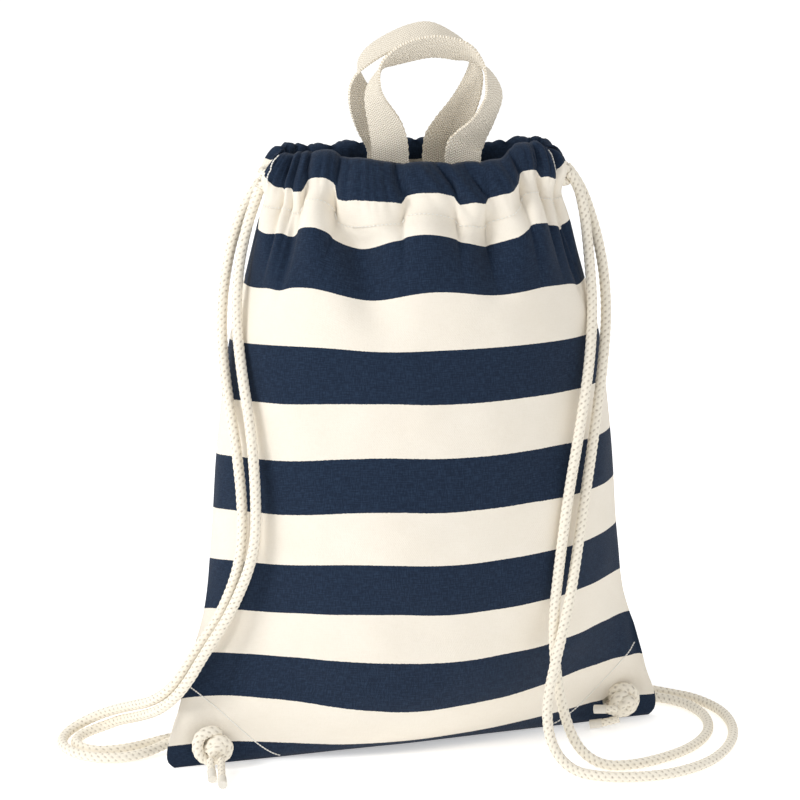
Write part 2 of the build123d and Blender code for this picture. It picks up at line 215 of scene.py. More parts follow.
def canvas_material():
    """Cotton canvas in navy and cream stripes, from the cloth's flat coordinates."""
    material, nodes, links, shader = new_material("striped_canvas")
    uv = nodes.new("ShaderNodeUVMap")
    uv.uv_map = "cloth"
    split = nodes.new("ShaderNodeSeparateXYZ")
    links.new(uv.outputs[0], split.inputs[0])
    across, down = split.outputs[0], split.outputs[1]
    # stripes: navy for the first stripe and the turn-in, then cream and navy in turn
    ragged = noise_node(nodes, links, scaled(nodes, links, uv.outputs[0], (900, 900, 1)), 1.0, 1.0)
    centred = math_node(nodes, links, "SUBTRACT", ragged, 0.5)
    shift = math_node(nodes, links, "MULTIPLY", centred, RAGGED_M)
    below = math_node(nodes, links, "SUBTRACT", down, FIRST_STRIPE_M)
    place = math_node(nodes, links, "ADD", below, shift)
    turn = math_node(nodes, links, "FLOORED_MODULO", place, 2 * STRIPE_M)
    navy = math_node(nodes, links, "GREATER_THAN", turn, STRIPE_M)
    # weave: warp and weft ribs out of step
    warp = wave_node(nodes, links, across, THREAD_M)
    weft = wave_node(nodes, links, down, THREAD_M)
    weave = math_node(nodes, links, "MULTIPLY", warp, weft)
    slub = noise_node(nodes, links, scaled(nodes, links, uv.outputs[0], (180, 1400, 1)), 1.0, 3.0)
    slub_up = noise_node(nodes, links, scaled(nodes, links, uv.outputs[0], (1400, 220, 1)), 1.0, 3.0)
    cloudy = noise_node(nodes, links, scaled(nodes, links, uv.outputs[0], (30, 30, 1)), 1.0, 4.0)
    grain = math_node(nodes, links, "MULTIPLY", math_node(nodes, links, "ADD", slub, slub_up), 0.5)
    fleck = nodes.new("ShaderNodeMapRange")
    fleck.inputs["From Min"].default_value = 0.44
    fleck.inputs["From Max"].default_value = 0.66
    links.new(grain, fleck.inputs["Value"])
    dark = mix_color(nodes, links, fleck.outputs[0], NAVY, NAVY_LIGHT)
    pale = mix_color(nodes, links, cloudy, CREAM, CREAM_LIGHT)
    speck = math_node(nodes, links, "MULTIPLY", fleck.outputs[0], 0.25)
    pale = mix_color(nodes, links, speck, pale, CREAM_SPECK)
    links.new(mix_color(nodes, links, navy, pale, dark), shader.inputs["Base Color"])
    height = math_node(nodes, links, "ADD", weave, math_node(nodes, links, "MULTIPLY", grain, 2.0))
    bump_into(nodes, links, shader, height, 0.00015, 0.55)
    shader.inputs["Sheen Weight"].default_value = 0.06
    shader.inputs["Specular IOR Level"].default_value = 0.2
    return material


RIB_M = 0.0021    # width of one leaning rib of the webbing
TWILL_M = 0.0017  # pitch of its slanted yarns
YARN_M = 0.0014   # pitch of its lengthwise yarns


def webbing_material():
    """Herringbone cotton webbing: ribs that lean one way and then the other, with painted shade in the
    weave's low places.
    """
    material, nodes, links, shader = new_material("cotton_webbing")
    uv = nodes.new("ShaderNodeUVMap")
    uv.uv_map = "cloth"
    split = nodes.new("ShaderNodeSeparateXYZ")
    links.new(uv.outputs[0], split.inputs[0])
    across, along = split.outputs[0], split.outputs[1]
    rib = math_node(nodes, links, "PINGPONG", across, RIB_M)
    slanted = math_node(nodes, links, "ADD", along, math_node(nodes, links, "MULTIPLY", rib, 0.75))
    twill = wave_node(nodes, links, slanted, TWILL_M)
    column = wave_node(nodes, links, across, YARN_M)
    height = math_node(nodes, links, "ADD", twill, math_node(nodes, links, "MULTIPLY", column, 0.6))
    # painted shade: the lower the weave lies, the darker its colour is painted
    groove_shade = nodes.new("ShaderNodeMapRange")
    groove_shade.inputs["From Min"].default_value = -1.5
    groove_shade.inputs["From Max"].default_value = 0.6
    links.new(height, groove_shade.inputs["Value"])
    fuzz = noise_node(nodes, links, scaled(nodes, links, uv.outputs[0], (500, 500, 1)), 1.0, 3.0)
    light = mix_color(nodes, links, fuzz, (0.92, 0.85, 0.72), (0.97, 0.92, 0.81))
    color = mix_color(nodes, links, groove_shade.outputs[0], (0.66, 0.56, 0.42), light)
    links.new(color, shader.inputs["Base Color"])
    bump_into(nodes, links, shader, height, 0.0004, 0.7)
    shader.inputs["Sheen Weight"].default_value = 0.05
    return material


def cord_material():
    """Braided cotton; painted shade darkens the low places between strands."""
    material, nodes, links, shader = new_material("cotton_cord")
    # the gap attribute holds the painted shade between the braid's strands
    gap = nodes.new("ShaderNodeAttribute")
    gap.attribute_name = "gap"
    coordinates = nodes.new("ShaderNodeTexCoord")
    fuzz = noise_node(nodes, links, coordinates.outputs["Object"], 1600.0, 3.0)
    light = mix_color(nodes, links, fuzz, (0.83, 0.76, 0.63), (0.95, 0.90, 0.79))
    patchy = noise_node(nodes, links, coordinates.outputs["Object"], 260.0, 2.0)
    uneven = math_node(nodes, links, "MULTIPLY", patchy, 1.7)
    # painted shade between strands, made uneven by noise and mixed toward dark brown
    painted_gap_shade = math_node(nodes, links, "MULTIPLY", gap.outputs["Fac"], uneven)
    links.new(mix_color(nodes, links, painted_gap_shade, light, (0.36, 0.30, 0.235)), shader.inputs["Base Color"])
    bump_into(nodes, links, shader, fuzz, 0.0004, 0.5)
    shader.inputs["Sheen Weight"].default_value = 0.05
    return material


def plain_material(name, low, high, scale, roughness=0.8, metallic=0.0, depth=0.0002):
    """Two close colours mixed by noise, with a matching bump."""
    material, nodes, links, shader = new_material(name, roughness)
    coordinates = nodes.new("ShaderNodeTexCoord")
    grain = noise_node(nodes, links, coordinates.outputs["Object"], scale, 4.0)
    links.new(mix_color(nodes, links, grain, low, high), shader.inputs["Base Color"])
    bump_into(nodes, links, shader, grain, depth, 0.4)
    shader.inputs["Metallic"].default_value = metallic
    return material


CANVAS = canvas_material()
WEBBING = webbing_material()
CORD = cord_material()
THREAD = plain_material("thread", (0.78, 0.75, 0.68), (0.93, 0.91, 0.86), 2500.0, 0.7)
TIP = plain_material("sealed_tip", (0.70, 0.655, 0.57), (0.82, 0.78, 0.70), 700.0, 0.4)
EYELET = plain_material("eyelet_metal", (0.55, 0.53, 0.48), (0.66, 0.64, 0.59), 500.0, 0.35, 1.0, 0.00004)

# ---- cords -----------------------------------------------------------------------------
CORD_D = 7.5
BRAID_RINGS = 0.9     # spacing of a braid's rings
BRAID_SIDES = 32
BRAID_STRANDS = 4     # in each direction
BRAID_PITCH = 18.5    # length of one turn of a strand

LEFT_BACK = [
    (-107, 17.5, 409), (-110, 15, 405), (-121, 13, 387), (-130, 8, 357), (-135, 0, 322), (-134, -22, 284),
    (-126, -42, 235), (-122, -49, 191), (-124, -50, 153), (-138, -44, 113), (-155, -42, 87), (-171, -43, 60),
    (-187, -27, 42), (-204, -3, 30), (-222, 14, 19), (-238, 19, 10), (-249, 11, 5.5), (-253.5, -3, 4),
    (-250, -18, 4), (-240, -30, 4), (-226, -37, 4), (-210, -38, 4), (-195, -31, 4), (-184, -22, 5),
    (-173, -16, 8), (-162, -19, 12),
]
LEFT_FRONT = [
    (-107, 2.5, 409), (-110, 4, 400), (-117, 0, 380), (-123, -6, 352), (-125, -18, 322), (-122, -35, 288),
    (-116, -48, 250), (-113, -57, 205), (-114, -59, 162), (-131, -53, 117), (-149, -51, 88), (-165, -51, 60),
    (-181, -36, 39), (-198, -12, 25), (-211, 6, 16), (-221, 14, 9), (-231, 13, 6), (-240, 6, 4.5),
    (-243.5, -5, 4), (-239.5, -16, 4), (-229.5, -23, 4), (-216, -23, 4), (-200, -17, 4), (-186, -9, 4.5),
    (-173, -5, 6), (-161, -8, 9.5), (-152.5, -16, 14),
]
RIGHT_FRONT = [
    (106, 3, 417.3), (113, 5, 409), (118, 2, 388), (121, -4, 358), (123, -14, 324), (120, -30, 290),
    (113, -43, 248), (104, -52, 200), (98, -55, 150), (94, -55, 108), (96, -56, 70), (102, -60, 38),
    (112, -65, 14), (129, -71, 4), (150, -70, 4), (172, -59, 4), (195, -40, 4), (211, -12, 4), (214, 18, 4),
    (205, 44, 4), (190, 58, 4), (173, 63, 5), (162, 61, 8), (154.2, 54.7, 13),
]
RIGHT_BACK = [
    (106, 17, 417.3), (115, 16, 407), (125, 14, 380), (132, 8, 350), (134, -3, 318), (130, -22, 286),
    (124, -35, 246), (117, -44, 200), (111, -50, 158), (105, -57, 120), (95, -67, 82), (88, -70, 48),
    (92, -74, 20), (106, -82, 5), (126, -91, 4), (151, -93, 4), (181, -86, 4), (211, -62, 4), (230, -18, 4),
    (229, 26, 4), (212, 57, 4), (190, 71, 4), (168, 72, 8), (154, 66, 12), (146, 56.5, 15),
]


def smooth_line(name, route):
    """Points along the NURBS spline that has the route as its control points, in millimetres."""
    data = bpy.data.curves.new(name, "CURVE")
    data.dimensions = "3D"
    spline = data.splines.new("NURBS")
    spline.points.add(len(route) - 1)
    for point, place in zip(spline.points, route):
        point.co = (place[0] * MM, place[1] * MM, place[2] * MM, 1.0)
    spline.order_u = 3
    spline.use_endpoint_u = True
    spline.resolution_u = 16
    curve = bpy.data.objects.new(name, data)
    mesh = bpy.data.meshes.new_from_object(curve)
    line = [vertex.co / MM for vertex in mesh.vertices]
    bpy.data.objects.remove(curve)
    bpy.data.meshes.remove(mesh)
    return line


def even_line(line, spacing):
    """The same line with points an even distance apart, and its length."""
    lengths = [0.0]
    for a, b in zip(line, line[1:]):
        lengths.append(lengths[-1] + (b - a).length)
    count = max(ceil(lengths[-1] / spacing), 2)
    points, k = [], 0
    for i in range(count + 1):
        goal = lengths[-1] * i / count
        while k < len(lengths) - 2 and lengths[k + 1] < goal:
            k += 1
        s = (goal - lengths[k]) / max(lengths[k + 1] - lengths[k], 1e-9)
        points.append(line[k].lerp(line[k + 1], min(max(s, 0.0), 1.0)))
    return points, lengths[-1]


def braid(name, line, radius=CORD_D / 2, spacing=BRAID_RINGS):
    """Braided cord along a line: two sets of strands wound opposite ways, over and under."""
    line, length = even_line(line, spacing)
    normal = Vector((0, 0, 1))
    points, strand_gap_shade = [], []
    for i, place in enumerate(line):
        tangent = (line[min(i + 1, len(line) - 1)] - line[max(i - 1, 0)]).normalized()
        normal = normal - tangent * normal.dot(tangent)
        if normal.length < 1e-4:
            normal = tangent.orthogonal()
        normal.normalize()
        side = tangent.cross(normal)
        turn = 2 * pi * i * length / (len(line) - 1) / BRAID_PITCH
        for j in range(BRAID_SIDES):
            angle = 2 * pi * j / BRAID_SIDES
            a = BRAID_STRANDS * (angle + turn) / 2
            b = BRAID_STRANDS * (angle - turn) / 2
            over = cos(a) ** 2 * (0.72 + 0.28 * cos(2 * b))
            under = cos(b) ** 2 * (0.72 - 0.28 * cos(2 * a))
            crown = max(over, under)
            reach = radius * (0.90 + 0.13 * crown)
            points.append(place + (normal * cos(angle) + side * sin(angle)) * reach)
            # painted shade: how much darker the cord is coloured where its strands dip
            strand_gap_shade.append(max(0.0, 1.0 - crown * 3.0))
    faces = grid_faces(len(line), BRAID_SIDES, closed=True)
    faces.append(tuple(reversed(range(BRAID_SIDES))))
    faces.append(tuple(range((len(line) - 1) * BRAID_SIDES, len(line) * BRAID_SIDES)))
    obj = make_object(name, points, faces, gap=strand_gap_shade)
    obj.data.materials.append(CORD)
    return obj, line, length


def make_strand(name, node, route):
    """One free strand, from its tunnel's end to the knot in front of the eyelet."""
    line = smooth_line(name, route)
    obj, path, length = braid(name, line)
    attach(obj, "sack")
    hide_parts(node)


# ---- body of the sack -------------------------------------------------------------------
# Height, half width, half depth, offset of the seam plane, twist in degrees, fullness,
# opening left between the two panels at the side.
STATIONS = [
    (0, 178, 1.0, -5, 14, 2.2, 0), (4, 182, 11, -5, 14, 2.2, 0), (10, 183, 19, -5, 14, 2.2, 0),
    (20, 181, 30, -5, 13.5, 2.1, 0), (40, 173, 46.5, -4.5, 12, 1.7, 0), (75, 161, 61, -3.2, 9, 1.05, 0),
    (110, 150, 69, -1.9, 6.5, 0.78, 0), (160, 144, 75, 0, 4.5, 0.62, 0), (224, 139, 73.5, 2.4, 3, 0.55, 0),
    (300, 129, 69, 5.3, 1.5, 0.52, 0), (345, 117, 62, 7, 0.5, 0.5, 0), (388, 105, 46, 8.7, 0, 0.48, 4),
    (409, 98, 35, 9.4, 0, 0.5, 8), (428, 93, 25, 10, 0, 0.5, 9), (450, 88, 18, 10, 0, 0.5, 9),
]
CLOTH_LENGTH = 462.0    # from the fold to the bottom seam, along the cloth
CLOTH_HALF_M = 0.185    # half the cloth's flat width
FOLD_Z = 428.0
TUNNEL = 40.0           # depth of the tunnel, from the fold to its stitching
CORD_ROOM = 4.3         # least distance from its middle to each wall, where the drawcords lie
CORD_HIGH, CORD_LOW = 4.0, 27.0   # where that is, below the fold
END_ROLL = 12.0         # cloth rolled over the fold at a hem's two ends
LOBE_DEPTH = 9.5        # how far the tunnel's lobes stand out
FINE_DEPTH = 3.4        # and the small wrinkles between them
BODY_GATHER = 12.0      # depth of the gathers in the cloth below the tunnel
CLOTH_THICK = 0.8
SHEET_COLUMNS = 226
SHEET_STEP = 3.0        # spacing of the sheet's rows below the tunnel
TUNNEL_ROWS = 20

# Sharp creases of each gathered hem, across it from -1 to 1.
FRONT_CREASES = [-1.0, -0.73, -0.65, -0.57, -0.38, -0.06, 0.17, 0.31, 0.52, 0.67, 0.84, 1.0]
BACK_CREASES = [-1.0, -0.86, -0.68, -0.57, -0.40, -0.24, -0.05, 0.08, 0.26, 0.41, 0.50, 0.66, 0.78, 0.90, 1.0]
# How much further down the lobe between each two creases hangs.
FRONT_DROPS = [0, 2, 4.5, -3.5, 5.5, -0.5, 5, 0.5, -4, 1.5, -3]
BACK_DROPS = [0, 3, -2, 3.5, -1, 4, -2.5, 2, -3, 3, 0, -3, 3, 0]
# Folds that run down from the hem: place at the hem, place lower down, depth, half width, length.
FRONT_FOLDS = [
    (-0.36, -0.19, 17.0, 0.095, 150), (0.33, 0.30, 11.0, 0.085, 125), (-0.61, -0.60, 7.0, 0.03, 125),
    (0.77, 0.79, 7.0, 0.03, 125), (-0.06, 0.04, -7.0, 0.13, 135), (0.56, 0.55, -6.0, 0.14, 115),
    (-0.48, -0.44, -7.0, 0.10, 120),
]
BACK_FOLDS = [
    (-0.57, -0.50, 6.0, 0.10, 120), (-0.24, -0.26, 6.5, 0.12, 130), (0.08, 0.10, 6.0, 0.11, 120),
    (0.41, 0.34, 7.0, 0.12, 130), (0.78, 0.70, 5.0, 0.08, 115),
]
# How much higher than nominal the folded edge stands, by its place across.
FRONT_LIFT = [(-1.0, 3), (-0.8, 5), (-0.64, 8), (-0.45, 9), (-0.31, 3), (-0.15, 0), (0.15, -1), (0.42, 0),
              (0.55, 12), (0.72, 13), (0.88, 7), (1.0, 3)]
BACK_LIFT = [(-1.0, 3), (-0.75, 5), (-0.5, 2), (-0.2, 4), (0.1, 5), (0.35, 2), (0.6, 7), (0.8, 9), (1.0, 3)]


def station_at(z):
    """Smoothly interpolated station."""
    for i in range(len(STATIONS) - 1):
        if z <= STATIONS[i + 1][0] or i == len(STATIONS) - 2:
            break
    low, high = STATIONS[i], STATIONS[i + 1]
    before = STATIONS[max(i - 1, 0)]
    after = STATIONS[min(i + 2, len(STATIONS) - 1)]
    gap = high[0] - low[0]
    s = (z - low[0]) / gap
    values = []
    for a, b, c, d in zip(before[1:], low[1:], high[1:], after[1:]):
        m0 = (c - a) / (high[0] - before[0]) * gap
        m1 = (d - b) / (after[0] - low[0]) * gap
        h = s * s
        values.append((2 * h * s - 3 * h + 1) * b + (h * s - 2 * h + s) * m0
                      + (3 * h - 2 * h * s) * c + (h * s - h) * m1)
    return values


def base_point(side, t, z):
    """The smooth panel without its folds; t runs from the left seam, -1, to the right, 1."""
    half_width, depth, offset, twist, fullness, opening = station_at(z)
    y = opening + max(depth - opening, 0.0) * max(1 - t * t, 0.0) ** max(fullness, 0.3)
    a = radians(twist)
    x, y = half_width * t, side * y
    return Vector((x * cos(a) - y * sin(a), offset + x * sin(a) + y * cos(a), z))


def gathers(creases, u):
    """Profile of the gathered lobes: 0 in a crease, 1 on a lobe's crown."""
    for a, b in zip(creases, creases[1:]):
        if u <= b:
            s = (u - a) / (b - a)
            width = min((b - a) / 0.25, 1.0)
            return sin(pi * min(max(s, 0.0), 1.0)) ** 0.62 * (0.45 + 0.55 * width)
    return 0.0


def lobe_drop(creases, drops, u):
    """How far the lobe at u hangs down, changing quickly at its creases."""
    drop = drops[0]
    for crease, before, after in zip(creases[1:-1], drops, drops[1:]):
        drop += (after - before) * (1 - fade(u, crease - 0.015, crease + 0.015))
    return drop


class Panel:
    """One cloth panel: its smooth shape, gathers and folds."""

    def __init__(self, side, creases, drops, folds, lift, stripe_shift, seed):
        self.side, self.creases, self.drops, self.folds = side, creases, drops, folds
        self.lift, self.stripe_shift, self.seed = lift, stripe_shift, seed
        self.fine = [-1.0]
        while self.fine[-1] < 1.0:
            wander = noise.noise(Vector((self.fine[-1] * 9, seed, 0.5)))
            self.fine.append(self.fine[-1] + 0.062 + 0.05 * wander)
        self.columns = {}

    def column(self, u):
        """Heights along one column, as (distance down from the fold, z), for arc length."""
        key = round(u, 4)
        if key not in self.columns:
            t = sin(pi / 2 * u)
            heights = [FOLD_Z * i / 150 for i in range(151)]
            points = [base_point(self.side, t, z) for z in heights]
            total = [0.0]
            for a, b in zip(points, points[1:]):
                total.append(total[-1] + (b - a).length)
            self.columns[key] = (heights, total)
        return self.columns[key]

    def height(self, u, down):
        """z of a point that lies `down` millimetres below the fold along the cloth."""
        heights, total = self.column(u)
        goal = total[-1] * (1 - down / CLOTH_LENGTH)
        if goal >= total[-1]:
            return heights[-1] + (goal - total[-1]) * 0.9
        low, high = 0, len(total) - 1
        while high - low > 1:
            middle = (low + high) // 2
            low, high = (middle, high) if total[middle] <= goal else (low, middle)
        s = (goal - total[low]) / max(total[high] - total[low], 1e-9)
        return heights[low] + s * (heights[high] - heights[low])

    def slant(self, u):
        """How far the hem's creases lean to one side."""
        return 0.35 * sin(2.6 * u + self.seed) + 0.15 * sin(7 * u)

    def drift(self, u, down):
        """How far the cloth is pulled up (less) or hangs down (more) at a place."""
        shift = -blend_points(self.lift, u) * fade(down, 5, 120)
        shift = shift - 2.5 * gathers(self.creases, u) * fade(down, 2, 45)
        shift += lobe_drop(self.creases, self.drops, u) * (1 - fade(down, 0, 12)) * fade(down, 28, 80)
        # the full middle of the body pulls its stripes up
        shift -= (4.0 + 6.0 * (1 - u * u)) * (1 - fade(down, 34, 66)) * fade(down, 350, 440)
        if self.side < 0:   # the front hangs lower on the left
            shift += 14.0 * (1 - fade(-u, 0.05, 0.55)) * (1 - fade(down, 90, 260)) * fade(down, 330, 440)
        for top, low, depth, width, length in self.folds:
            s = min(down / 100, 1.3)
            d = (u - top - s * (low - top)) / (width * 1.7)
            along = min(max(down - 15, 0) / (length - 15), 1.0)
            shift += 0.38 * depth * sin(pi * along) ** 0.8 * 2.718 ** (-d * d)
        return shift

    def relief(self, u, down):
        """How far the cloth stands out of the smooth shape."""
        out = (gathers(self.creases, u) - 0.60) * BODY_GATHER * fade(down, 26, 110)
        for top, low, depth, width, length in self.folds:
            s = min(down / 100, 1.3)
            d = (u - top - s * (low - top)) / width
            out -= depth * (1 - fade(down, 12, 62)) * fade(down, 50, length) * 2.718 ** (-d * d)
        edge = min((1 - abs(u)) / 0.12, 1.0)
        place = Vector((u * 3.1, down / 70, self.seed))
        soft = noise.noise(place) * 3.0 + noise.noise(place * 2.3) * 1.2
        return (out + soft * fade(-down, -30, -5) * min(max(CLOTH_LENGTH - down, 0) / 40, 1)) * edge

    def point(self, u, down, wall=0.0):
        """A point of the cloth. wall moves it out (1) or in (-1) from the tunnel's middle."""
        t = sin(pi / 2 * u)
        z = self.height(u, max(down + self.drift(u, down), -20))
        place = base_point(self.side, t, z)
        step_u = 0.004
        beside = base_point(self.side, sin(pi / 2 * min(u + step_u, 1)), z) \
            - base_point(self.side, sin(pi / 2 * max(u - step_u, -1)), z)
        above = base_point(self.side, t, z + 2) - base_point(self.side, t, max(z - 2, 0))
        normal = beside.cross(above)
        if normal.length > 1e-6:
            normal = normal.normalized() * -self.side
        else:
            normal = Vector((0, self.side, 0))
        if wall == 0:
            return place
        if down >= TUNNEL:
            return place + normal * (self.relief(u, down) + wall * 0.5)
        swell = max(sin(pi * (max(down, 0) / TUNNEL) ** 0.8), 0.0) ** 0.5
        lean = u + self.slant(u) * (20 - down) / 100
        lobes = gathers(self.creases, lean) * LOBE_DEPTH + gathers(self.fine, lean) * FINE_DEPTH
        out = CORD_ROOM * swell + lobes * (0.35 + 0.65 * swell) * (1.0 if wall > 0 else 0.35) - 2.0
        low = fade(down, TUNNEL - 22, TUNNEL)
        out = wall * out * low + (self.relief(u, down) + wall * 0.5) * (1 - low)
        if CORD_HIGH < down < CORD_LOW:
            out = wall * max(wall * out, CORD_ROOM * swell)
        return place + normal * out

    def sheet(self, name):
        """The cloth from the bottom seam up, over the fold and down inside to the stitching."""
        columns = SHEET_COLUMNS
        below = int((CLOTH_LENGTH - TUNNEL) / SHEET_STEP) + 1
        rows = [(CLOTH_LENGTH - i * SHEET_STEP, 1.0) for i in range(below)]
        rows += [(TUNNEL * (1 - i / TUNNEL_ROWS), 1.0) for i in range(1, TUNNEL_ROWS + 1)]
        rows += [(TUNNEL * i / TUNNEL_ROWS, -1.0) for i in range(1, TUNNEL_ROWS + 1)]
        points, uvs = [], []
        for down, wall in rows:
            for j in range(columns + 1):
                u = -1 + 2 * j / columns
                points.append(self.point(u, down, wall))
                flat = down if wall > 0 else -down
                flat += END_ROLL * fade(1 - abs(u), 0.02, 0.24) * fade(down, 10, 120)
                uvs.append((CLOTH_HALF_M * u, (flat + self.stripe_shift) * MM))
        obj = make_object(name, points, grid_faces(len(rows), columns + 1), uvs)
        obj.data.materials.append(CANVAS)
        thick = obj.modifiers.new("thickness", "SOLIDIFY")
        thick.thickness = CLOTH_THICK * MM
        thick.offset = -1.0 if self.side < 0 else 1.0
        return obj


FRONT = Panel(-1, FRONT_CREASES, FRONT_DROPS, FRONT_FOLDS, FRONT_LIFT, 0.0, 1.3)
BACK = Panel(1, BACK_CREASES, BACK_DROPS, BACK_FOLDS, BACK_LIFT, 2.2, 7.9)


def make_cloth():
    """Both panels; the front one stands for the hidden corner patches too."""
    front_nodes = ("front_panel", "front_hem", "left_corner_patch", "right_corner_patch")
    back_nodes = ("back_panel", "back_hem")
    for panel, name, nodes in ((FRONT, "front_cloth", front_nodes), (BACK, "back_cloth", back_nodes)):
        cloth = panel.sheet(name)
        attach(cloth, "sack")
        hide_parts(*nodes)


# ---- stitching ------------------------------------------------------------------------
def stitches(name, panels_and_places, radius, share, node):
    """Short capsules of thread lying on the cloth, one for each pair of neighbouring places."""
    points, faces = [], []
    for run in panels_and_places:
        for a, b in zip(run, run[1:]):
            middle, half = (a + b) / 2, (b - a) * share / 2
            tangent = half.normalized()
            normal = tangent.orthogonal().normalized()
            side = tangent.cross(normal)
            start = len(points)
            rings = ((-1.0, 0.35), (-0.8, 0.85), (0.0, 1.0), (0.8, 0.85), (1.0, 0.35))
            for along, wide in rings:
                for k in range(6):
                    angle = pi * k / 3
                    spoke = normal * cos(angle) + side * sin(angle)
                    points.append(middle + half * along + spoke * radius * wide)
            faces += [tuple(start + i for i in face) for face in grid_faces(len(rings), 6, closed=True)]
            faces += [tuple(start + i for i in reversed(range(6))), tuple(start + 24 + i for i in range(6))]
    obj = make_object(name, points, faces)
    obj.data.materials.append(THREAD)
    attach(obj, "sack")
    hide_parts(node)


def make_stitching():
    """Tunnel rows, tunnel ends and the diagonal rows at the corners."""
    for panel, name in ((FRONT, "front_hem_stitching"), (BACK, "back_hem_stitching")):
        proud = Vector((0, panel.side * 0.7, 0))
        row = [panel.point(-0.97 + 1.94 * i / 110, TUNNEL - 1, 1.0) + proud for i in range(111)]
        stitches(name + "_thread", [row], 0.42, 0.62, name)
    ends = []
    for panel in (FRONT, BACK):
        for side in (-1, 1):
            ends.append([panel.point(side * (0.86 - 0.0012 * d), d, 1.04) for d in range(2, 26, 2)])
    stitches("tunnel_end_thread", ends, 0.5, 0.92, "tunnel_end_stitching")
    for side, name in ((-1, "left"), (1, "right")):
        rows = []
        for panel in (FRONT, BACK):
            places = [(side * asin(0.985 - 0.425 * i / 40) * 2 / pi, 395 + 63 * i / 40) for i in range(41)]
            rows.append([panel.point(u, down, 1.2) for u, down in places])
        stitches(name + "_corner_thread", rows, 0.55, 0.9, name + "_corner_stitching")


# ---- handles --------------------------------------------------------------------------
HANDLE_W = 25.0
HANDLE_THICK = 1.7
HEM_Z = 431.0    # above this the loops leave the hem and lean apart
# Stations of a loop: x, z, turn of the webbing about Z, rise of its far edge, in degrees.
FRONT_LOOP = [
    (-17, 400, 0, 0), (-17, 431, 0, 0), (-20, 450, -20, 5), (-27, 471, -58, 12), (-26, 485, -80, 20),
    (-20, 496, -90, 32), (-6, 504, -90, 44), (12, 508, -90, 47), (30, 505, -90, 44), (41, 498, -96, 30),
    (49, 487, -108, 15), (53, 471, -122, 5), (46, 454, -138, 0), (37, 441, -163, 0),
    (33, 431, -180, 0), (33, 400, -180, 0),
]
BACK_LOOP = [
    (-20, 400, 0, 0), (-20, 431, 0, 0), (-28, 448, 16, 0), (-35, 462, 38, 0), (-39, 475, 62, 3),
    (-38, 486, 82, 8), (-31, 495, 90, 13), (-19, 503, 90, 16), (-3, 510, 90, 16), (12, 512, 90, 16),
    (27, 506, 90, 13), (38, 498, 94, 8), (43, 486, 106, 3), (40, 472, 122, 0), (33, 457, 138, 0),
    (23, 441, 163, 0), (19, 431, 180, 0), (19, 400, 180, 0),
]


def make_handle(name, stations, y, side, nodes):
    """Webbing from one sewn end over the arch to the other, with its woven edges."""
    smooth = catmull([tuple(float(v) for v in s) for s in stations], 14)
    centres = [Vector((x, y + side * 0.05 * max(z - HEM_Z, 0), z)) for x, z, _, _ in smooth]
    columns = 20
    points, uvs = [], []
    length = 0.0
    for i, (_, _, turn, rise) in enumerate(smooth):
        tangent = (centres[min(i + 1, len(centres) - 1)] - centres[max(i - 1, 0)]).normalized()
        length += (centres[i] - centres[max(i - 1, 0)]).length
        a, b = radians(turn), radians(rise)
        across = Vector((cos(a) * cos(b), sin(a) * cos(b), sin(b)))
        across = (across - tangent * across.dot(tangent)).normalized()
        normal = tangent.cross(across)
        for j in range(columns + 1):
            s = -1 + 2 * j / columns
            notch = 0.35 * sin(i * pi / 1.5) if abs(s) == 1 else 0.0
            wave = 0.35 * sin(length / 17 + s) + 0.25 * sin(length / 9 - 2 * s)
            sideways = across * (s * HANDLE_W / 2 - notch * s)
            points.append(centres[i] + sideways + normal * wave * (1 - s * s * 0.4))
            uvs.append((s * HANDLE_W / 2 * MM, length * MM))
    obj = make_object(name, points, grid_faces(len(smooth), columns + 1), uvs)
    obj.data.materials.append(WEBBING)
    thick = obj.modifiers.new("thickness", "SOLIDIFY")
    thick.thickness = HANDLE_THICK * MM
    thick.offset = 0.0
    rounded = obj.modifiers.new("edges", "BEVEL")
    rounded.width = 0.5 * MM
    rounded.segments = 2
    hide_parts(*nodes)
    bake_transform(obj)


# ---- knots ----------------------------------------------------------------------------
KNOT_TILT = 14.0    # turn of both knots about Z, in degrees
KNOT_CORD_R = 4.2
STRAND_APART = 3.4  # from the eyelet's middle to each strand
LEFT_EYELET = Vector((-147.7, -41.5, 17))
RIGHT_EYELET = Vector((147.9, 31.5, 17))
# Cord paths of the knots, from the eyelet's centre: right, forward, up.
LEFT_KNOT = [
    [(2, -1, 2), (5, 5, 6), (3, 8, 10), (-3, 9, 11), (-9, 9, 8), (-11, 9, 2), (-10, 9, -5), (-5, 9, -10),
     (1, 9, -11), (5, 9, -9)],
    [(-3, 9, -3), (-1, 12, 3), (4, 13, 5.5), (9, 13, 3), (10.5, 13, -2), (8, 13, -7), (3, 13, -8),
     (-1, 13, -5), (0, 14, 0), (4, 15, 1.5), (6, 14, -2), (4, 13, -6), (5, 12, -11)],
]
RIGHT_KNOT = [
    [(-2, -1, 2), (-4, 5, 5), (-1, 8, 9), (5, 10, 10), (10, 10, 6), (11, 10, -1), (8, 10, -7), (1, 10, -9),
     (-6, 10, -6), (-8, 10, 0)],
    [(5, 9, 6), (0, 13, 6), (-5, 13, 3), (-5, 13, -3), (0, 13, -6), (5, 13, -5), (7, 14, 0), (4, 15, 3),
     (0, 15, 0), (-3, 13, -5), (-10, 12, -4)],
]


def make_knot(name, node, eyelet, runs):
    """Knot of both cord ends, tied from braided runs."""
    a = radians(KNOT_TILT)
    pieces = []
    for i, run in enumerate(runs):
        route = []
        for right, forward, up in run:
            route.append((eyelet.x + right * cos(a) + forward * sin(a),
                          eyelet.y + right * sin(a) - forward * cos(a), eyelet.z + up))
        line = smooth_line(name, route)
        piece, _, _ = braid(f"{name}_{i + 1}", line, radius=KNOT_CORD_R)
        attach(piece, "sack")
        if i == 0:
            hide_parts(node)
        pieces.append(piece)
    return pieces


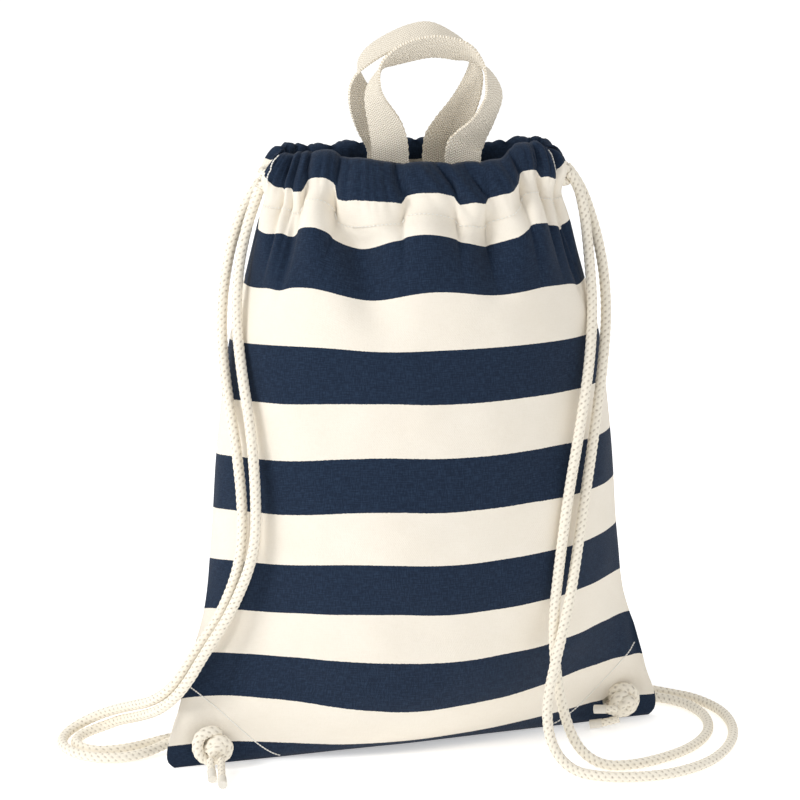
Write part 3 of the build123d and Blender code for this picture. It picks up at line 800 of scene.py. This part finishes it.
# The two cut ends beyond each knot, from inside the knot to the sealed tip.
TAIL_D = 5.6
TAILS = {
    "left_tail_1": [(-147, -60, 10), (-146.5, -70, 6), (-146.2, -75, 4.5)],
    "left_tail_2": [(-139.5, -60, 10), (-139.5, -74, 5.5), (-139.2, -84, 4.1)],
    "right_tail_1": [(147, 5, 18), (139, 6, 17), (134, 8, 16.4)],
    "right_tail_2": [(148, 7, 9), (139, 8, 6), (132, 9.3, 4.7)],
}


def make_tails():
    """Braided tails; their sealed tips stay as the CAD has them."""
    for name, route in TAILS.items():
        tail, _, _ = braid(name + "_cord", smooth_line(name + "_route", route), radius=TAIL_D / 2)
        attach(tail, "sack")
        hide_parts(name)


def eyelet_end(side, eyelet):
    """Each strand's last points, behind and through the eyelet: front strand, back strand."""
    a = radians(14 if side < 0 else 13.6)
    ends = []
    for slot in (1, -1):
        across = Vector((cos(a), sin(a), 0)) * slot * STRAND_APART
        back = Vector((-sin(a), cos(a), 0))
        ends.append([tuple(eyelet + across + back * 15.1), tuple(eyelet + across + back * 4.1),
                     tuple(eyelet + across * 0.9 - back * 7)])
    return ends


def make_cords():
    """Both knots and the four free strands that end in them."""
    left_end, right_end = eyelet_end(-1, LEFT_EYELET), eyelet_end(1, RIGHT_EYELET)
    left_knot = make_knot("left_knot_cord", "left_knot", LEFT_EYELET, LEFT_KNOT)
    right_knot = make_knot("right_knot_cord", "right_knot", RIGHT_EYELET, RIGHT_KNOT)
    make_strand("left_front_strand", "left_cord_front_strand", LEFT_FRONT + left_end[0])
    make_strand("left_back_strand", "left_cord_back_strand", LEFT_BACK + left_end[1])
    make_strand("right_front_strand", "right_cord_front_strand", RIGHT_FRONT + right_end[0])
    make_strand("right_back_strand", "right_cord_back_strand", RIGHT_BACK + right_end[1])


# ---- setting --------------------------------------------------------------------------
def make_setting():
    """Pale floor and soft studio light."""
    half = 6000.0
    corners = [(-half, -half, 0), (half, -half, 0), (half, half, 0), (-half, half, 0)]
    floor = make_object("floor", corners, [(0, 1, 2, 3)])
    floor.location.z = -0.0004
    paper = plain_material("floor", (0.93, 0.93, 0.93), (0.95, 0.95, 0.95), 3.0, 0.9)
    shader = paper.node_tree.nodes["Principled BSDF"]
    shader.inputs["Emission Color"].default_value = (1, 1, 1, 1)
    shader.inputs["Emission Strength"].default_value = 0.42
    floor.data.materials.append(paper)
    world = bpy.data.worlds.new("world")
    world.use_nodes = True
    background = world.node_tree.nodes["Background"]
    background.inputs["Color"].default_value = (1, 1, 1, 1)
    background.inputs["Strength"].default_value = 0.62
    bpy.context.scene.world = world
    for name, place, width, power in (
        ("key", (-1.9, -0.9, 1.5), 0.8, 30),
        ("fill", (1.7, -1.4, 1.2), 1.6, 3),
        ("top", (0.1, 0.5, 2.2), 1.0, 8),
    ):
        data = bpy.data.lights.new(name, "AREA")
        data.size = width
        data.energy = power
        lamp = bpy.data.objects.new(name, data)
        lamp.location = place
        lamp.rotation_euler = (Vector((0, 0, 0.22)) - lamp.location).to_track_quat("-Z", "Y").to_euler()
        bpy.context.scene.collection.objects.link(lamp)
    bpy.context.scene.view_settings.view_transform = "Standard"


def make_tunnel_runs():
    """Each drawcord's run through both tunnels, in the middle of the gathered cloth."""
    for name, z, mouth in (("left", 409.0, -1), ("right", 417.3, 1)):
        start = (LEFT_FRONT if mouth < 0 else RIGHT_FRONT)[0]
        end = (LEFT_BACK if mouth < 0 else RIGHT_BACK)[0]
        places = [-0.92 + 1.84 * i / 16 for i in range(17)]   # across the tunnel
        front = [FRONT.point(-mouth * u, FOLD_Z - z, 0.0) for u in places]
        back = [BACK.point(mouth * u, FOLD_Z - z, 0.0) for u in places]
        bend = [(-mouth * 103, 2.5, z), (-mouth * 107, 10, z), (-mouth * 103, 17.5, z)]
        route = [start] + [tuple(p) for p in front] + bend + [tuple(p) for p in back] + [end]
        run, _, _ = braid(name + "_tunnel_cord", smooth_line(name + "_run", route), radius=3.2, spacing=1.4)
        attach(run, "sack")
        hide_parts(name + "_cord_tunnel_run")


def finish_cad_nodes():
    """Finishes for the CAD nodes that stay."""
    for name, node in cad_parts.items():
        if "eyelet" in name:
            material = EYELET
        elif name.endswith("_tip"):
            material = TIP
        else:
            continue
        for slot in node.material_slots:
            slot.material = material


make_cords()
make_tails()
make_cloth()
make_tunnel_runs()
make_stitching()
make_handle("front_webbing", FRONT_LOOP, -1.5, -1, ("front_handle", "front_handle_tabs"))
make_handle("back_webbing", BACK_LOOP, 21.5, 1, ("back_handle", "back_handle_tabs"))
finish_cad_nodes()
make_setting()
